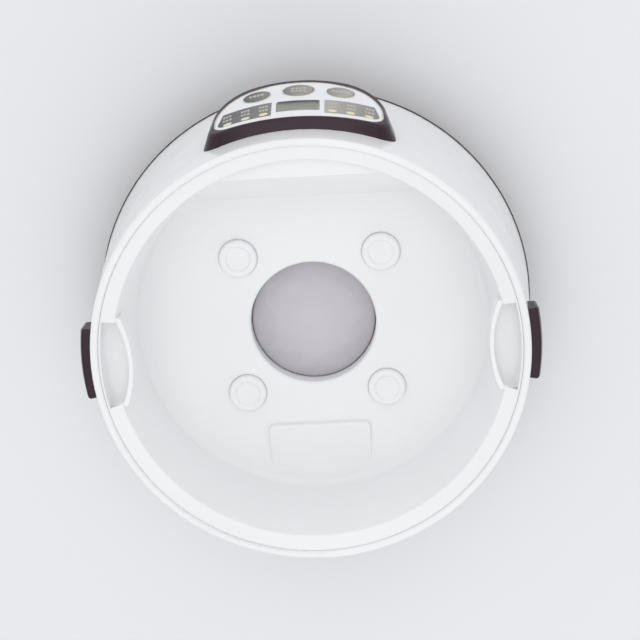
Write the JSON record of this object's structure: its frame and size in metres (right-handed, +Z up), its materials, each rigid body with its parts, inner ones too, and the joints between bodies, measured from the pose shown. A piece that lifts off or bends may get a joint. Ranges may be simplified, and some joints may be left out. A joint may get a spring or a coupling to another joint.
{
  "type": "water-bath cooker base",
  "caption": "Round white countertop water-bath cooker base with a curved D-shaped control panel, side grips and a heated floor; lid and pots are separate.",
  "frame": {"origin": "on the table plane, at the middle of the object's box", "axes": "+Z up out of the tub opening, -Y towards the user and the control panel, +X to the user's right"},
  "size_m": [0.285, 0.2961, 0.1449],
  "materials": {
    "white_shell": "glossy white moulded plastic",
    "white_tub": "satin white moulded plastic",
    "face_white": "glossy white",
    "aubergine": "glossy dark aubergine plastic",
    "champagne": "champagne metallic trim",
    "label_grey": "metallic grey printed film",
    "lens_cream": "cream translucent lens",
    "display_glass": "clear window",
    "display": "grey-green liquid crystal display",
    "button_grey": "metallic grey buttons",
    "plunger_dark": "black switch plungers",
    "hot_plate": "fine matt bead-blasted",
    "silicone": "translucent silicone",
    "feet_rubber": "black rubber",
    "steel": "bright steel sheet",
    "screws": "zinc plated",
    "black_plastic": "black heat-resistant plastic",
    "circuit_green": "green circuit board",
    "terminal_green": "green terminal plastic",
    "transformer_core": "laminated core and yellow tape",
    "led_clear": "clear LED domes",
    "brass_pins": "nickel-brass contacts",
    "plate_silver": "blank silver rating label"
  },
  "bodies": {
    "base": {"outer_shell": "white_shell", "inner_tub": "white_tub", "support_pads": "white_tub", "base_pan": "aubergine", "rubber_feet": "feet_rubber", "base_screws": "screws", "tub_screws": "screws", "rating_plate": "plate_silver", "heater_plate": "hot_plate", "heater_seal": "silicone", "heating_element": "steel", "heater_clamp": "steel", "clamp_screws": "screws", "sensor_strap": "steel", "temperature_sensor": "steel", "thermal_cutout": "black_plastic", "heat_shield": "steel", "power_board": "circuit_green", "power_board_screws": "screws", "transformer": "transformer_core", "relay": "black_plastic", "capacitors": "black_plastic", "terminal_block": "terminal_green", "panel_housing": "aubergine", "housing_screws": "screws", "face_plate": "face_white", "face_trim": "champagne", "indicator_label_left": "label_grey", "indicator_label_right": "label_grey", "indicator_lenses": "lens_cream", "lcd_window": "display_glass", "lcd_module": "display", "button_rings": "champagne", "tact_switches": "plunger_dark", "control_board": "circuit_green", "board_screws": "screws", "indicator_leds": "led_clear", "control_chips": "black_plastic", "handle_left": "aubergine", "handle_right": "aubergine", "handle_screws": "screws", "ac_inlet": "black_plastic", "inlet_pins": "brass_pins", "inlet_screws": "screws"},
    "button_left": {"button_left": "button_grey", "plunger_left": "plunger_dark"},
    "button_centre": {"button_centre": "button_grey", "plunger_centre": "plunger_dark"},
    "button_right": {"button_right": "button_grey", "plunger_right": "plunger_dark"}
  },
  "joints": [
    {"name": "press_left", "type": "slide", "parent": "base", "child": "button_left", "axis": [0.1644, 0.9518, -0.2588], "range_m": [0, 0.0006], "stiffness_N_per_m": 1500},
    {"name": "press_centre", "type": "slide", "parent": "base", "child": "button_centre", "axis": [0, 0.9659, -0.2588], "range_m": [0, 0.0006], "stiffness_N_per_m": 1500},
    {"name": "press_right", "type": "slide", "parent": "base", "child": "button_right", "axis": [-0.1644, 0.9518, -0.2588], "range_m": [0, 0.0006], "stiffness_N_per_m": 1500}
  ]
}
